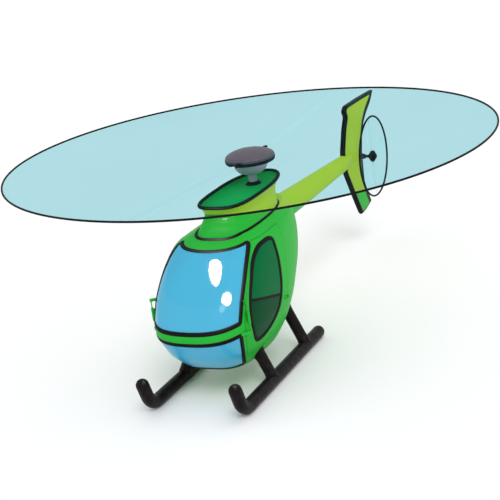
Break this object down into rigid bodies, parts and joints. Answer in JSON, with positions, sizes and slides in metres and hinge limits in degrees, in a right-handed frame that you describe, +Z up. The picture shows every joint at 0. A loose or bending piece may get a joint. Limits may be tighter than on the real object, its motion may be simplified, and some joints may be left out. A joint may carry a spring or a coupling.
{
  "type": "helicopter",
  "caption": "Light two-seat helicopter with a bubble cabin, hinged doors, raised rotor cowl, slim tail boom, swept fin and tail rotor, parked on twin skids.",
  "frame": {"origin": "on the ground under the middle of the machine's box, centred side to side and nose to tail", "axes": "+Z up, -Y towards the nose, +X towards the pilot's left"},
  "size_m": [6.9962, 8.6381, 2.9633],
  "materials": {
    "green": "satin",
    "lime": "satin",
    "deck": "matt",
    "blue_glass": "polished",
    "dark_glass": "polished",
    "disc": "clear",
    "blade": "satin",
    "grey": "satin",
    "black": "satin",
    "metal": "brushed",
    "engine": "rough",
    "boom_paint": "satin",
    "trim": "matt",
    "cloth": "woven"
  },
  "bodies": {
    "airframe": {"belly_pan": "green", "nose_band": "green", "front_pillar_left": "green", "front_pillar_right": "green", "rear_side_left": "green", "rear_side_right": "green", "roof_panel": "green", "windshield": "blue_glass", "chin_window": "blue_glass", "cabin_floor": "metal", "rear_bulkhead": "metal", "engine_block": "engine", "seat_frame": "trim", "seat_cushion_left": "cloth", "seat_cushion_right": "cloth", "back_cushion_left": "cloth", "back_cushion_right": "cloth", "instrument_console": "trim", "cyclic_stick": "black", "rotor_cowl": "lime", "cowl_deck": "deck", "main_gearbox": "engine", "tail_boom": "boom_paint", "tail_fin": "boom_paint", "tail_gearbox": "black", "skid_left": "black", "skid_right": "black", "skid_leg_front_left": "black", "skid_leg_front_right": "black", "skid_leg_rear_left": "black", "skid_leg_rear_right": "black", "door_hinge_left": "black", "door_hinge_right": "black"},
    "door_left": {"door_left": "green", "door_window_left": "dark_glass", "door_handle_left": "black", "door_knuckle_left": "black"},
    "door_right": {"door_right": "green", "door_window_right": "dark_glass", "door_handle_right": "black", "door_knuckle_right": "black"},
    "main_rotor": {"rotor_mast": "grey", "rotor_hub_cap": "grey", "rotor_blade_1": "blade", "rotor_blade_2": "blade", "rotor_disc": "disc"},
    "tail_rotor": {"tail_rotor_hub": "black", "tail_rotor_blades": "blade", "tail_rotor_disc": "disc"}
  },
  "joints": [
    {"name": "main_rotor_spin", "type": "hinge", "parent": "airframe", "child": "main_rotor", "pos_m": [0, -0.82, 2.5], "axis": [0, 0, 1], "continuous": true},
    {"name": "tail_rotor_spin", "type": "hinge", "parent": "airframe", "child": "tail_rotor", "pos_m": [0.25, 3.38, 1.59], "axis": [1, 0, 0], "continuous": true},
    {"name": "door_left_swing", "type": "hinge", "parent": "airframe", "child": "door_left", "pos_m": [0.71, -2.94, 1.2], "axis": [0, 0, -1], "range_deg": [0, 75]},
    {"name": "door_right_swing", "type": "hinge", "parent": "airframe", "child": "door_right", "pos_m": [-0.71, -2.94, 1.2], "axis": [0, 0, 1], "range_deg": [0, 75]}
  ],
  "couplings": [
    {"joint": "tail_rotor_spin", "follows": "main_rotor_spin", "ratio": 5}
  ]
}
